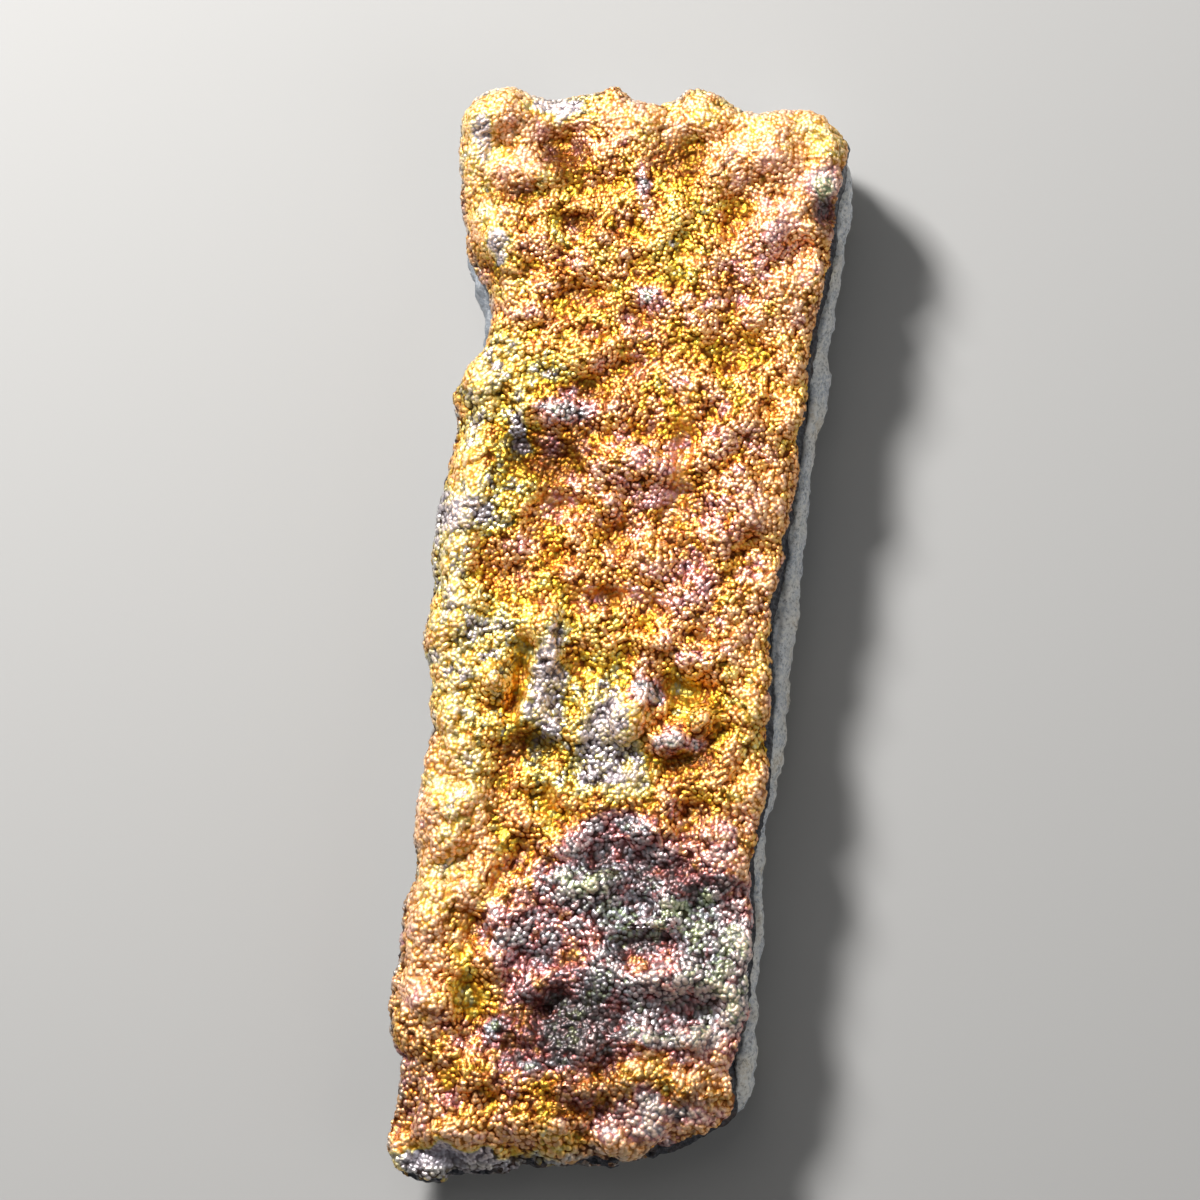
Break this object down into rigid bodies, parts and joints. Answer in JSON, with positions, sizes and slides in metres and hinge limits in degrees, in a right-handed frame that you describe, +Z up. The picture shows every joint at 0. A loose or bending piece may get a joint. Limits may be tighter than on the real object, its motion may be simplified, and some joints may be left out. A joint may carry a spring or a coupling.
{
  "type": "iridescent goethite specimen",
  "caption": "Loose slab of botryoidal goethite with an iridescent face on a pale chalcedony layer, a display specimen that lies on its back.",
  "frame": {"origin": "under the middle of the slab, on the surface that it lies on", "axes": "+Z up out of the iridescent face, +Y along the slab to the end that the picture shows at its top, +X to the picture's right"},
  "size_m": [0.0442, 0.1226, 0.0161],
  "materials": {
    "iridescent_goethite": "metallic iridescent skin of gold, amber, pink, lilac and silver over black fibrous iron oxide",
    "pale_chalcedony": "grey-white to cream granular translucent stone"
  },
  "bodies": {
    "root": {"goethite_crust": "iridescent_goethite", "pale_layer": "pale_chalcedony"}
  },
  "joints": []
}
